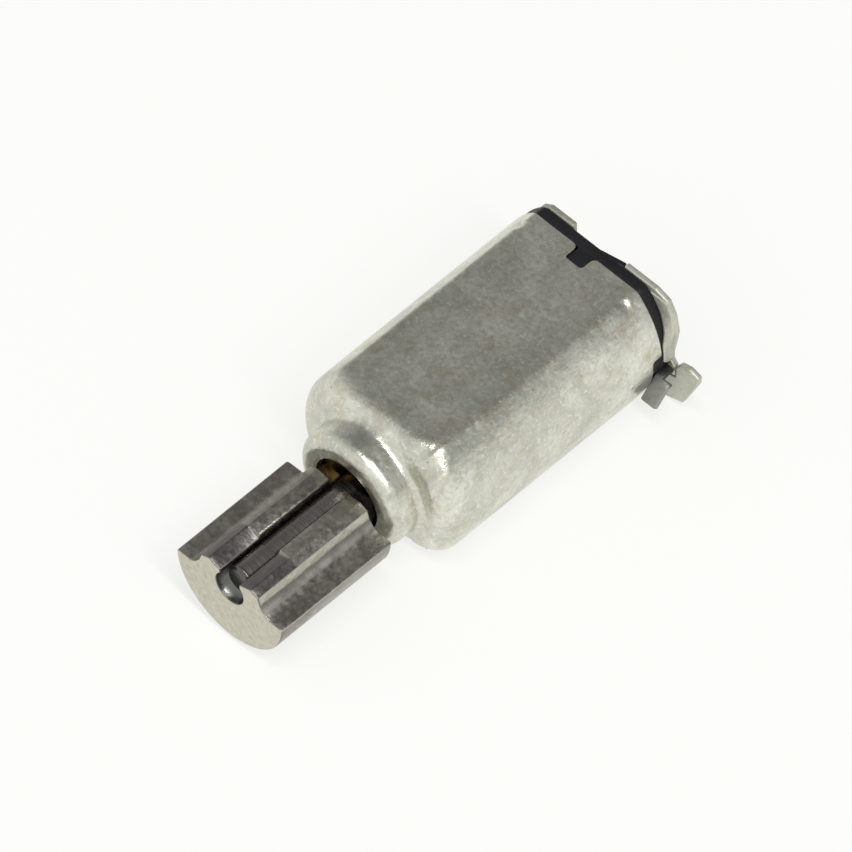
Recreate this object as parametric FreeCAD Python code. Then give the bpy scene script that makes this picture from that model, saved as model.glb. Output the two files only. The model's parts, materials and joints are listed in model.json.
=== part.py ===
"""Slim bar-type vibration motor: drawn can, end cap with terminals, three-pole rotor, eccentric weight.

Millimetres. The shaft lies along Y with the eccentric weight towards -Y and the terminals towards +Y.
The origin is on the shaft axis, in the plane of the can's front wall. +Z is up, towards one flat of the can.
"""
import FreeCAD, Part

import math
import os

V = FreeCAD.Vector
CENTRE = V(0, 0, 0)
Y_AXIS = V(0, 1, 0)
TOLERANCE = 1e-6

# Can: a drawn steel cup of double-D section with a hollow nose
CAN_RADIUS = 2.2
CAN_HALF_HEIGHT = 1.65
CAN_LENGTH = 6.26
CAN_WALL = 0.2
CAN_FLAT_EDGE_RADIUS = 0.3
CAN_SHOULDER_RADIUS = 0.5
NOSE_RADIUS = 1.42
NOSE_LENGTH = 0.77
NOSE_EDGE_RADIUS = 0.32
NOSE_ROOT_RADIUS = 0.22
NOSE_HOLE_RADIUS = 0.87
KEY_NOTCH_WIDTH = 0.46
KEY_NOTCH_DEPTH = 0.39
SIDE_NOTCH_DEPTH = 0.25
SIDE_NOTCH_TOP = 0.15
SIDE_NOTCH_BOTTOM = -0.95
SIDE_KEY_BOTTOM = -0.40
CRIMP_Y = 5.82
CRIMP_X = 1.50
CRIMP_RADIUS = 0.28
CRIMP_DEPTH = 0.05

# Shaft and its bearings
SHAFT_RADIUS = 0.35
SHAFT_START = -3.86
SHAFT_END = 6.55
SHAFT_CHAMFER = 0.06
RUNNING_GAP = 0.02
NOSE_BUSH_START = -0.46
NOSE_BUSH_END = 0.50
REAR_BUSH_RADIUS = 0.70
REAR_BUSH_START = 5.72
REAR_BUSH_END = 6.50
BUSH_COUNTERSINK = 0.16
THRUST_PLATE_END = 6.62

# Magnets
MAGNET_INNER_RADIUS = 1.46
MAGNET_HALF_HEIGHT = 1.15
MAGNET_START = 0.85
MAGNET_END = 4.65

# Rotor core, windings and commutator
POLES = 3
POLE_STEP_DEG = 360 / POLES
CORE_RADIUS = 1.36
CORE_START = 1.25
LAMINATIONS = 13
LAMINATION_THICKNESS = 0.2
CORE_END = CORE_START + LAMINATIONS * LAMINATION_THICKNESS
CORE_HUB_RADIUS = 0.56
TOOTH_HALF_WIDTH = 0.24
POLE_TIP_THICKNESS = 0.2
POLE_TIP_HALF_ANGLE = 49
INSULATOR_THICKNESS = 0.1
COIL_INNER = 0.62
COIL_OUTER = 0.99
COIL_WIDTH = 0.25
COIL_OVERHANG = 0.28
COIL_CORNER = 0.11
REAR_SLEEVE_LENGTH = 0.3
COMMUTATOR_HUB_RADIUS = 0.50
COMMUTATOR_RADIUS = 0.62
COMMUTATOR_START = 4.64
COMMUTATOR_END = 5.50
COMMUTATOR_HUB_END = 5.58
SEGMENT_HALF_ANGLE = 56
TAG_HALF_WIDTH = 0.16
TAG_REACH = 1.08
TAG_THICKNESS = 0.08
VARISTOR_INNER = 0.72
VARISTOR_OUTER = 1.16
VARISTOR_START = CORE_END + INSULATOR_THICKNESS + COIL_OVERHANG
VARISTOR_END = COMMUTATOR_START - TAG_THICKNESS
SOLDER_RADIUS = 0.14
WASHER_RADIUS = 0.62
WASHER_THICKNESS = 0.1

# Eccentric weight
WEIGHT_RADIUS = 1.53
WEIGHT_FRONT = -4.14
WEIGHT_BACK = -0.95
WEIGHT_HUB_BACK = -0.63
WEIGHT_HUB_RADIUS = 0.78
WEIGHT_HUB_TOP = 0.30
WEIGHT_FRONT_RECESS_RADIUS = 0.39
WEIGHT_PROFILE = [(1.50, -0.05), (1.05, -0.05), (0.88, 0.18), (0.81, 0.40), (0.60, 0.50), (0.275, 0.48)]
WEIGHT_SLOT_HALF_WIDTH = 0.275
STAKE_LENGTH = 1.15
STAKE_DEPTH = 0.10

# End cap, brushes and terminals
CAP_CLEARANCE = 0.04
CAP_FLANGE_END = 6.54
CAP_SKIRT_START = 4.75
CAP_SKIRT_WALL = 0.32
CAP_FLOOR_START = 5.95
CAP_BOSS_RADIUS = 0.92
CAP_BOSS_END = 6.76
PLATE_STOP_LEFT = 0.15
PLATE_STOP_RIGHT = 0.78
PLATE_STOP_HEIGHT = 0.12
PLATE_STOP_BOTTOM = 1.0
PEG_RADIUS = 0.15
PEG_HEAD_RADIUS = 0.23
TERMINAL_THICKNESS = 0.14
TERMINAL_BACK = CAP_FLANGE_END + TERMINAL_THICKNESS
BOSS_CUTOUT_RADIUS = 1.0
TAB_PASSAGE_LEFT = 1.98
TAB_PASSAGE_BOTTOM = -0.62
SIDE_TAB_RADIUS = 2.17
SIDE_TAB_THICKNESS = 0.10
SIDE_TAB_OUTLINE = [(6.60, 1.00), (6.50, 0.90), (6.34, 0.62), (6.34, -0.12), (6.50, -0.24), (6.60, -0.24)]
LUG_THICKNESS = 0.12
LUG_LEFT = 2.08
LUG_WIDTH = 0.41
LUG_NECK_WIDTH = 0.20
LUG_NECK_RIGHT = LUG_LEFT + LUG_NECK_WIDTH
LUG_NECK_BACK = 6.16
LUG_PATH = [(6.67, -0.48), (6.26, -0.50), (6.12, -0.60), (5.80, -0.93)]
RIGHT_PLATE = [
    (0.80, 1.65), (1.68, 1.65), (2.03, 1.53), (2.21, 1.19), (2.30, 0.71), (2.24, 0.30), (2.14, -0.24),
    (LUG_NECK_RIGHT, -0.42), (LUG_NECK_RIGHT, -0.72), (1.35, -0.72), (0.80, -0.60),
]
LEFT_PLATE = [(-0.65, 1.65), (-1.33, 1.65), (-1.55, 1.50), (-1.85, 0.98), (-2.0, 0.3), (-2.0, -0.3)]
STRIP_BOTTOM = [(-1.88, -0.85), (-1.62, -1.30), (-1.35, -1.57), (2.03, -1.59)]
STRIP_LUG = [(2.52, -1.40), (2.93, -0.45), (2.96, -0.25), (2.50, -0.28), (2.36, -0.60), (2.14, -1.08)]
STRIP_TOP = [(0.5, -1.12), (-0.45, -1.05), (-0.65, -0.6)]
BRUSH_THICKNESS = 0.05
BRUSH_HALF_WIDTH = 0.28
BRUSH_TOUCH_Y = 5.02
BRUSH_FOOT_X = 1.22
BRUSH_FOOT_Y = 5.85
BRUSH_KNEE = (1.16, 5.55)
BRUSH_LEAN = 0.1
BRUSH_TIP_RISE = 0.04
BRUSH_TIP_LENGTH = 0.15
BRUSH_FINGER_GAP = 0.08
BRUSH_FINGER_LENGTH = 0.6
BRUSH_GAP = 0.01


def y_cylinder(radius, start, end):
    """Cylinder about the shaft axis from start to end along Y."""
    return Part.makeCylinder(radius, end - start, V(0, start, 0), Y_AXIS)


def y_ring(inner, outer, start, end):
    """Round ring about the shaft axis."""
    return y_cylinder(outer, start, end).cut(y_cylinder(inner, start, end))


def box(low, high):
    """Box between two opposite corners."""
    size = [b - a for a, b in zip(low, high)]
    return Part.makeBox(*size, V(*low))


def prism_along_y(points, start, end):
    """Solid with the (x, z) outline, from start to end along Y."""
    wire = Part.makePolygon([V(x, start, z) for x, z in points + points[:1]])
    return Part.Face(wire).extrude(V(0, end - start, 0))


def bent_strip(path, thickness):
    """Outline points of a strip of even thickness whose middle line is the path, with mitred bends."""
    left, right = [], []
    for i, (a, b) in enumerate(path):
        before = path[max(i - 1, 0)]
        after = path[min(i + 1, len(path) - 1)]
        directions = []
        for start, end in ((before, (a, b)), ((a, b), after)):
            length = math.hypot(end[0] - start[0], end[1] - start[1])
            if length > 0:
                directions.append(((end[0] - start[0]) / length, (end[1] - start[1]) / length))
        normals = [(-d[1], d[0]) for d in directions]
        n = [sum(k) / len(normals) for k in zip(*normals)]
        scale = thickness / 2 / (n[0] ** 2 + n[1] ** 2)
        left.append((a + n[0] * scale, b + n[1] * scale))
        right.append((a - n[0] * scale, b - n[1] * scale))
    return left + right[::-1]


def double_d(radius, half_height, edge_radius, start, end):
    """Round bar along Y with flats at top and bottom and softened flat edges."""
    slab = box((-radius, start, -half_height), (radius, end, half_height))
    bar = y_cylinder(radius, start, end).common(slab).removeSplitter()
    flat_edges = [e for e in bar.Edges if borders_flat_lengthwise(e, half_height)]
    return bar.makeFillet(edge_radius, flat_edges)


def borders_flat_lengthwise(edge, half_height):
    """True for an edge along Y that borders one of the two flats."""
    bounds = edge.BoundBox
    runs_along_y = bounds.XLength < TOLERANCE and bounds.ZLength < TOLERANCE
    return runs_along_y and abs(abs(bounds.Center.z) - half_height) < TOLERANCE


def edges_in_plane(shape, y):
    """Edges that lie wholly in the plane at y."""
    return [e for e in shape.Edges if max(abs(e.BoundBox.YMin - y), abs(e.BoundBox.YMax - y)) < TOLERANCE]


def turned(shape, degrees):
    """Copy of a shape turned about the shaft axis."""
    copy = shape.copy()
    copy.rotate(CENTRE, Y_AXIS, degrees)
    return copy


def key_notches():
    """Spaces of the three notches in the can's rim: top, bottom and right side."""
    half = KEY_NOTCH_WIDTH / 2
    start = CAN_LENGTH - KEY_NOTCH_DEPTH
    inner = CAN_HALF_HEIGHT - CAN_WALL
    top = box((-half, start, inner), (half, CAN_LENGTH, CAN_HALF_HEIGHT))
    bottom = box((-half, start, -CAN_HALF_HEIGHT), (half, CAN_LENGTH, -inner))
    side_low = (CAN_RADIUS - 2 * CAN_WALL, CAN_LENGTH - SIDE_NOTCH_DEPTH, SIDE_NOTCH_BOTTOM)
    side = box(side_low, (CAN_RADIUS, CAN_LENGTH, SIDE_NOTCH_TOP))
    return top, bottom, side


def crimp_dents():
    """Balls that press a shallow staking dent into each end of the flats' rear corners."""
    offset = CRIMP_RADIUS - CRIMP_DEPTH
    reach = math.sqrt(CAN_RADIUS**2 - CRIMP_X**2)
    height = min(reach, CAN_HALF_HEIGHT) + offset
    places = [V(x, CRIMP_Y, z) for x in (-CRIMP_X, CRIMP_X) for z in (-height, height)]
    return [Part.makeSphere(CRIMP_RADIUS, place) for place in places]


def can():
    """Steel cup with a hollow nose that holds the front bearing."""
    body = double_d(CAN_RADIUS, CAN_HALF_HEIGHT, CAN_FLAT_EDGE_RADIUS, 0, CAN_LENGTH)
    body = body.makeFillet(CAN_SHOULDER_RADIUS, edges_in_plane(body, 0))
    nose = y_cylinder(NOSE_RADIUS, -NOSE_LENGTH, CAN_WALL)
    nose = nose.makeFillet(NOSE_EDGE_RADIUS, edges_in_plane(nose, -NOSE_LENGTH))
    body = body.fuse(nose).removeSplitter()
    root = [e for e in edges_in_plane(body, 0) if abs(e.BoundBox.XMax - NOSE_RADIUS) < TOLERANCE]
    body = body.makeFillet(NOSE_ROOT_RADIUS, root)
    inner_radius = CAN_RADIUS - CAN_WALL
    cavity = double_d(inner_radius, CAN_HALF_HEIGHT - CAN_WALL, CAN_WALL / 2, CAN_WALL, CAN_LENGTH + 1)
    cavity = cavity.makeFillet(CAN_SHOULDER_RADIUS - CAN_WALL, edges_in_plane(cavity, CAN_WALL))
    bore = y_cylinder(NOSE_RADIUS - CAN_WALL, -NOSE_LENGTH + CAN_WALL, CAN_WALL)
    hole = y_cylinder(NOSE_HOLE_RADIUS, -NOSE_LENGTH, 0)
    for space in [cavity, bore, hole, *key_notches(), *crimp_dents()]:
        body = body.cut(space)
    return body


def bush(radius, start, end):
    """Plain sintered bush with a countersunk mouth at each end."""
    bore_radius = SHAFT_RADIUS + RUNNING_GAP
    body = y_cylinder(radius, start, end).cut(y_cylinder(bore_radius, start, end))
    wide = bore_radius + BUSH_COUNTERSINK
    front = Part.makeCone(wide, bore_radius, BUSH_COUNTERSINK, V(0, start, 0), Y_AXIS)
    back = Part.makeCone(bore_radius, wide, BUSH_COUNTERSINK, V(0, end - BUSH_COUNTERSINK, 0), Y_AXIS)
    return body.cut(front).cut(back)


def magnet(side):
    """Arc magnet against the can's round wall; side is +1 on the right and -1 on the left."""
    ring = y_ring(MAGNET_INNER_RADIUS, CAN_RADIUS - CAN_WALL, MAGNET_START, MAGNET_END)
    reach = CAN_RADIUS * side
    low = (min(0, reach), MAGNET_START, -MAGNET_HALF_HEIGHT)
    high = (max(0, reach), MAGNET_END, MAGNET_HALF_HEIGHT)
    return ring.common(box(low, high))


def thrust_plate():
    """Wear disc that the shaft's rounded end runs against."""
    return y_cylinder(REAR_BUSH_RADIUS - RUNNING_GAP, SHAFT_END + BRUSH_GAP, THRUST_PLATE_END)


def peg_places():
    """Centres (x, z) of the heat-staked pegs that hold the terminals: two on each."""
    return [(1.5, 1.0), (1.62, -0.25), (-1.5, 1.0), (-1.62, -0.25)]


def end_cap():
    """Moulded cap: skirt around the brushes, keyed flange, bearing pocket and staked pegs."""
    inner_radius = CAN_RADIUS - CAN_WALL
    inner_half = CAN_HALF_HEIGHT - CAN_WALL
    skirt = double_d(inner_radius, inner_half, CAN_WALL / 2, CAP_SKIRT_START, CAP_FLANGE_END)
    chamber_radius = inner_radius - CAP_SKIRT_WALL
    chamber_half = inner_half - CAP_SKIRT_WALL / 2
    chamber = double_d(chamber_radius, chamber_half, CAN_WALL / 2, CAP_SKIRT_START, CAP_FLOOR_START)
    outer_radius = CAN_RADIUS - CAP_CLEARANCE
    outer_half = CAN_HALF_HEIGHT - CAP_CLEARANCE
    flange = double_d(outer_radius, outer_half, CAN_FLAT_EDGE_RADIUS, CAN_LENGTH, CAP_FLANGE_END)
    body = skirt.cut(chamber).fuse(flange)
    top, bottom, side = key_notches()
    side = side.common(box((0, 0, SIDE_KEY_BOTTOM), (CAN_RADIUS, CAN_LENGTH, SIDE_NOTCH_TOP)))
    envelope = double_d(outer_radius, outer_half, CAN_FLAT_EDGE_RADIUS, 0, CAN_LENGTH)
    for key in (top, bottom, side):
        body = body.fuse(key.common(envelope))
    boss = y_cylinder(CAP_BOSS_RADIUS, REAR_BUSH_START, CAP_BOSS_END)
    body = body.fuse(boss.makeFillet(PEG_HEAD_RADIUS / 2, edges_in_plane(boss, CAP_BOSS_END)))
    for x, z in peg_places():
        body = body.fuse(staked_peg(x, z))
    body = body.fuse(plate_stop())
    body = body.cut(y_cylinder(REAR_BUSH_RADIUS, REAR_BUSH_START, THRUST_PLATE_END))
    body = body.cut(tab_passage())
    for side_sign in (-1, 1):
        body = body.cut(brush_foot_slot(side_sign))
    return body.removeSplitter()


def staked_peg(x, z):
    """Peg through a terminal with its melted head on the terminal's back."""
    stem = Part.makeCylinder(PEG_RADIUS, CAP_BOSS_END - CAN_LENGTH, V(x, CAN_LENGTH, z), Y_AXIS)
    head_height = CAP_BOSS_END - TERMINAL_BACK
    head = Part.makeCone(PEG_HEAD_RADIUS, PEG_RADIUS, head_height, V(x, TERMINAL_BACK, z), Y_AXIS)
    return stem.fuse(head)


def plate_stop():
    """Ramp on the cap's back that rises towards the right terminal's inner edge."""
    foot = CAP_FLANGE_END
    crest = foot + PLATE_STOP_HEIGHT
    outline = [(PLATE_STOP_LEFT, foot), (PLATE_STOP_RIGHT, foot), (PLATE_STOP_RIGHT, crest)]
    wire = Part.makePolygon([V(x, y, PLATE_STOP_BOTTOM) for x, y in outline + outline[:1]])
    return Part.Face(wire).extrude(V(0, 0, CAN_HALF_HEIGHT - CAP_CLEARANCE - PLATE_STOP_BOTTOM))


def brush_foot_slot(side):
    """Slot through the cap's floor for one brush's foot."""
    half = BRUSH_THICKNESS / 2
    x = side * BRUSH_FOOT_X
    return box((x - half, CAP_FLOOR_START, -BRUSH_HALF_WIDTH), (x + half, CAP_FLANGE_END, BRUSH_HALF_WIDTH))


def brush(side):
    """Leaf spring brush: straight foot in the cap, bend, and a two-finger leaf on the commutator."""
    touch_x = COMMUTATOR_RADIUS + BRUSH_GAP + BRUSH_THICKNESS / 2
    foot = [(BRUSH_FOOT_X, CAP_FLANGE_END), (BRUSH_FOOT_X, BRUSH_FOOT_Y), BRUSH_KNEE]
    shoulder = (touch_x + BRUSH_LEAN, BRUSH_TOUCH_Y + 2 * BRUSH_LEAN)
    tip = (touch_x + BRUSH_TIP_RISE, BRUSH_TOUCH_Y - BRUSH_TIP_LENGTH)
    path = [*foot, shoulder, (touch_x, BRUSH_TOUCH_Y), tip]
    outline = [(side * x, y) for x, y in bent_strip(path, BRUSH_THICKNESS)]
    wire = Part.makePolygon([V(x, y, -BRUSH_HALF_WIDTH) for x, y in outline + outline[:1]])
    leaf = Part.Face(wire).extrude(V(0, 0, 2 * BRUSH_HALF_WIDTH))
    gap_start = BRUSH_TOUCH_Y - BRUSH_TIP_LENGTH
    gap_end = gap_start + BRUSH_FINGER_LENGTH
    half_gap = BRUSH_FINGER_GAP / 2
    return leaf.cut(box((-CAN_RADIUS, gap_start, -half_gap), (CAN_RADIUS, gap_end, half_gap)))


def terminal_right():
    """Plate over the cap's right half with a solder lug folded forward beside the side key."""
    plate = prism_along_y(RIGHT_PLATE, CAP_FLANGE_END, TERMINAL_BACK)
    plate = plate.cut(y_cylinder(BOSS_CUTOUT_RADIUS, CAP_FLANGE_END, TERMINAL_BACK))
    lug_outline = bent_strip(LUG_PATH, LUG_THICKNESS)
    wire = Part.makePolygon([V(LUG_LEFT, y, z) for y, z in lug_outline + lug_outline[:1]])
    lug = Part.Face(wire).extrude(V(LUG_WIDTH, 0, 0))
    beside_neck = box((LUG_NECK_RIGHT, LUG_NECK_BACK, -1), (LUG_LEFT + LUG_WIDTH, TERMINAL_BACK, 0))
    lug = lug.cut(beside_neck)
    return cut_peg_holes(plate.fuse(lug).fuse(side_tab())).removeSplitter()


def side_tab():
    """Edge of the right plate bent forward over the flange's side, almost down to the can's rim."""
    front = min(y for y, z in SIDE_TAB_OUTLINE)
    back = max(y for y, z in SIDE_TAB_OUTLINE)
    ring = y_ring(SIDE_TAB_RADIUS, SIDE_TAB_RADIUS + SIDE_TAB_THICKNESS, front, back)
    wire = Part.makePolygon([V(0, y, z) for y, z in SIDE_TAB_OUTLINE + SIDE_TAB_OUTLINE[:1]])
    return ring.common(Part.Face(wire).extrude(V(2 * SIDE_TAB_RADIUS, 0, 0)))


def tab_passage():
    """Recess in the flange's right edge where the folded lug passes forward."""
    low = (TAB_PASSAGE_LEFT, CAN_LENGTH - SIDE_NOTCH_DEPTH, TAB_PASSAGE_BOTTOM)
    return box(low, (CAN_RADIUS, CAP_FLANGE_END, SIDE_KEY_BOTTOM))


def terminal_left():
    """Plate over the cap's left half; its strip along the bottom ends in a solder lug at the right."""
    outline = LEFT_PLATE + STRIP_BOTTOM + STRIP_LUG + STRIP_TOP
    plate = prism_along_y(outline, CAP_FLANGE_END, TERMINAL_BACK)
    plate = plate.cut(y_cylinder(BOSS_CUTOUT_RADIUS, CAP_FLANGE_END, TERMINAL_BACK))
    return cut_peg_holes(plate)


def cut_peg_holes(plate):
    """Plate with a hole for each peg of the cap."""
    for x, z in peg_places():
        hole = Part.makeCylinder(PEG_RADIUS, TERMINAL_THICKNESS, V(x, CAP_FLANGE_END, z), Y_AXIS)
        plate = plate.cut(hole)
    return plate


def shaft():
    """Ground steel shaft with small chamfers at both ends."""
    rod = y_cylinder(SHAFT_RADIUS, SHAFT_START, SHAFT_END)
    return rod.makeChamfer(SHAFT_CHAMFER, edges_in_plane(rod, SHAFT_START) + edges_in_plane(rod, SHAFT_END))


def sector_wedge(half_angle, reach, start, end):
    """Wedge about the upward direction, from the shaft axis out to the reach."""
    across = reach * math.sin(math.radians(half_angle))
    up = reach * math.cos(math.radians(half_angle))
    return prism_along_y([(0, 0), (-across, up), (0, reach), (across, up)], start, end)


def lamination_profile(start, thickness):
    """One three-pole sheet of the rotor core, with its middle pole upwards."""
    end = start + thickness
    body = y_cylinder(CORE_HUB_RADIUS, start, end)
    tip_ring = y_ring(CORE_RADIUS - POLE_TIP_THICKNESS, CORE_RADIUS, start, end)
    tip = tip_ring.common(sector_wedge(POLE_TIP_HALF_ANGLE, 2 * CORE_RADIUS, start, end))
    tooth = box((-TOOTH_HALF_WIDTH, start, 0), (TOOTH_HALF_WIDTH, end, CORE_RADIUS - POLE_TIP_THICKNESS / 2))
    for i in range(POLES):
        body = body.fuse(turned(tooth, i * POLE_STEP_DEG)).fuse(turned(tip, i * POLE_STEP_DEG))
    return body.cut(y_cylinder(SHAFT_RADIUS, start, end)).removeSplitter()


def rotor_laminations():
    """Stack of separate sheets."""
    sheet = lamination_profile(CORE_START, LAMINATION_THICKNESS)
    sheets = []
    for i in range(LAMINATIONS):
        copy = sheet.copy()
        copy.translate(V(0, i * LAMINATION_THICKNESS, 0))
        sheets.append(copy)
    return Part.makeCompound(sheets)


def insulator(start, sleeve_start, sleeve_end):
    """Insulating sheet on one end of the core with a short sleeve around the shaft."""
    sheet = lamination_profile(start, INSULATOR_THICKNESS)
    sleeve = y_ring(SHAFT_RADIUS, CORE_HUB_RADIUS - INSULATOR_THICKNESS / 2, sleeve_start, sleeve_end)
    return sheet.fuse(sleeve).removeSplitter()


def coil(index):
    """Winding around one tooth, as one rounded ring."""
    start = CORE_START - INSULATOR_THICKNESS
    end = CORE_END + INSULATOR_THICKNESS
    outer_half = TOOTH_HALF_WIDTH + COIL_WIDTH
    low = (-outer_half, start - COIL_OVERHANG, COIL_INNER)
    ring = box(low, (outer_half, end + COIL_OVERHANG, COIL_OUTER))
    ring = ring.makeFillet(COIL_CORNER, ring.Edges)
    tooth_space = box((-TOOTH_HALF_WIDTH, start, 0), (TOOTH_HALF_WIDTH, end, CORE_RADIUS))
    return turned(ring.cut(tooth_space), index * POLE_STEP_DEG)


def commutator_hub():
    """Moulded hub that carries the three segments."""
    start = CORE_END + INSULATOR_THICKNESS + REAR_SLEEVE_LENGTH
    return y_ring(SHAFT_RADIUS, COMMUTATOR_HUB_RADIUS, start, COMMUTATOR_HUB_END)


def commutator_segment(index):
    """Copper segment with a tag at its front that the coil ends are soldered to."""
    ring = y_ring(COMMUTATOR_HUB_RADIUS, COMMUTATOR_RADIUS, VARISTOR_END, COMMUTATOR_END)
    wedge = sector_wedge(SEGMENT_HALF_ANGLE, 2 * COMMUTATOR_RADIUS, VARISTOR_END, COMMUTATOR_END)
    tag = box((-TAG_HALF_WIDTH, VARISTOR_END, 0), (TAG_HALF_WIDTH, COMMUTATOR_START, TAG_REACH))
    tag = tag.cut(y_cylinder(COMMUTATOR_HUB_RADIUS, VARISTOR_END, COMMUTATOR_START))
    segment = ring.common(wedge).fuse(tag).removeSplitter()
    return turned(segment, (index + 0.5) * POLE_STEP_DEG)


def varistor_ring():
    """Spark-suppressing ring between the windings and the segment tags."""
    return y_ring(VARISTOR_INNER, VARISTOR_OUTER, VARISTOR_START, VARISTOR_END)


def solder_joints():
    """Three domes of solder, one on each segment tag."""
    radial = TAG_REACH - SOLDER_RADIUS
    ball = Part.makeSphere(SOLDER_RADIUS, V(0, COMMUTATOR_START, radial))
    behind = box((-1, COMMUTATOR_START, 0), (1, COMMUTATOR_START + 1, 2))
    dome = ball.common(behind)
    return Part.makeCompound([turned(dome, (i + 0.5) * POLE_STEP_DEG) for i in range(POLES)])


def washer(start):
    """Thin thrust washer on the shaft."""
    return y_ring(SHAFT_RADIUS, WASHER_RADIUS, start, start + WASHER_THICKNESS)


def counterweight():
    """Eccentric weight: heavy lower sector with ears staked onto the shaft, and a short hub behind."""
    right = WEIGHT_PROFILE
    left = [(-x, z) for x, z in reversed(right)]
    front = WEIGHT_FRONT
    corner_right, corner_left = right[0], left[-1]
    arc = Part.Arc(V(corner_right[0], front, corner_right[1]), V(0, front, -WEIGHT_RADIUS),
                   V(corner_left[0], front, corner_left[1])).toShape()
    top = Part.makePolygon([V(x, front, z) for x, z in right + left])
    face = Part.Face(Part.Wire([arc] + top.Edges))
    body = face.extrude(V(0, WEIGHT_BACK - front, 0))
    hub_room = box((-1, WEIGHT_BACK, -1), (1, WEIGHT_HUB_BACK, WEIGHT_HUB_TOP))
    hub = y_cylinder(WEIGHT_HUB_RADIUS, WEIGHT_BACK, WEIGHT_HUB_BACK).common(hub_room)
    body = body.fuse(hub)
    slot = box((-WEIGHT_SLOT_HALF_WIDTH, front, 0), (WEIGHT_SLOT_HALF_WIDTH, WEIGHT_HUB_BACK, 1))
    body = body.cut(slot).cut(y_cylinder(SHAFT_RADIUS, front, WEIGHT_HUB_BACK))
    body = body.cut(y_cylinder(WEIGHT_FRONT_RECESS_RADIUS, front, SHAFT_START))
    for side in (-1, 1):
        body = body.cut(stake_cut(side))
    return body.removeSplitter()


def stake_cut(side):
    """Wedge pressed into the top of one ear by the staking punch."""
    crown_x, crown_z = WEIGHT_PROFILE[-2]
    slot_z = WEIGHT_PROFILE[-1][1]
    points = [(0, slot_z - STAKE_DEPTH), (side * crown_x, crown_z), (side * crown_x, 1), (0, 1)]
    return prism_along_y(points, WEIGHT_FRONT, WEIGHT_FRONT + STAKE_LENGTH)


def main():
    """Write one STEP file for each node."""
    front_washer_start = NOSE_BUSH_END + RUNNING_GAP
    front_sleeve_start = front_washer_start + WASHER_THICKNESS
    rear_sleeve_end = CORE_END + INSULATOR_THICKNESS + REAR_SLEEVE_LENGTH
    nodes = {
        "can": can(),
        "nose_bush": bush(NOSE_RADIUS - CAN_WALL, NOSE_BUSH_START, NOSE_BUSH_END),
        "magnet_left": magnet(-1),
        "magnet_right": magnet(1),
        "end_cap": end_cap(),
        "rear_bush": bush(REAR_BUSH_RADIUS, REAR_BUSH_START, REAR_BUSH_END),
        "thrust_plate": thrust_plate(),
        "terminal_left": terminal_left(),
        "terminal_right": terminal_right(),
        "brush_left": brush(-1),
        "brush_right": brush(1),
        "shaft": shaft(),
        "front_washer": washer(front_washer_start),
        "insulator_front": insulator(CORE_START - INSULATOR_THICKNESS, front_sleeve_start, CORE_START),
        "rotor_laminations": rotor_laminations(),
        "insulator_rear": insulator(CORE_END, CORE_END, rear_sleeve_end),
        "commutator_hub": commutator_hub(),
        "varistor_ring": varistor_ring(),
        "solder_joints": solder_joints(),
        "rear_washer": washer(COMMUTATOR_HUB_END),
        "counterweight": counterweight(),
    }
    for i in range(POLES):
        nodes[f"coil_{i + 1}"] = coil(i)
        nodes[f"commutator_segment_{i + 1}"] = commutator_segment(i)
    os.makedirs("parts", exist_ok=True)
    for name, shape in nodes.items():
        shape.exportStep(f"parts/{name}.step")
        print(f"{name}: {len(shape.Solids)} solid(s), {shape.Volume:.3f} mm3, valid {shape.isValid()}")


main()
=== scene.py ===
import json
import math

import bmesh
import bpy
import numpy as np
from mathutils import Matrix, Vector


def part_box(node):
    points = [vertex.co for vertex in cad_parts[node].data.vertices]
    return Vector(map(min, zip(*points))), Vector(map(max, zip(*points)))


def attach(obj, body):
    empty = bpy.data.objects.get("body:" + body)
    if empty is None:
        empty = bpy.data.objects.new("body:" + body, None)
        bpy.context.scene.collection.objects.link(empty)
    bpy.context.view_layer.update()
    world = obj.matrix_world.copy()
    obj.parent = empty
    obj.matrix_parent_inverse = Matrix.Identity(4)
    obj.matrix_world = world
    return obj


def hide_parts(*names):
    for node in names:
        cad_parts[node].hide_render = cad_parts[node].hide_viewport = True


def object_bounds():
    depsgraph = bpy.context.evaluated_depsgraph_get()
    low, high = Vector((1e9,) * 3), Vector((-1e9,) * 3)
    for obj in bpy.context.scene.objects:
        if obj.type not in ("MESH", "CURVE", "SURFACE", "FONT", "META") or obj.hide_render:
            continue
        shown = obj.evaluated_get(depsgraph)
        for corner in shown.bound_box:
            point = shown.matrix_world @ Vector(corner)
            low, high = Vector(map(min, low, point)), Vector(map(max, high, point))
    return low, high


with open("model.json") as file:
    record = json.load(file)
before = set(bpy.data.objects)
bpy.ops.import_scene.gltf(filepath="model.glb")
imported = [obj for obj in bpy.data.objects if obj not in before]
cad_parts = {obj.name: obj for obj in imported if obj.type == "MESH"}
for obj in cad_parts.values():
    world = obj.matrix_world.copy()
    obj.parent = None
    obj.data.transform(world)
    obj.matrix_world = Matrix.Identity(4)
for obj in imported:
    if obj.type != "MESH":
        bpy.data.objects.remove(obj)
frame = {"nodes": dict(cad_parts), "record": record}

CAD_LOW, CAD_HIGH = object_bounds()
MM = 0.001
HOUSING, ROTOR = "housing", "rotor"


def low(node):
    """Lowest corner of a node in millimetres."""
    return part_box(node)[0] / MM


def high(node):
    """Highest corner of a node in millimetres."""
    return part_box(node)[1] / MM


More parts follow.
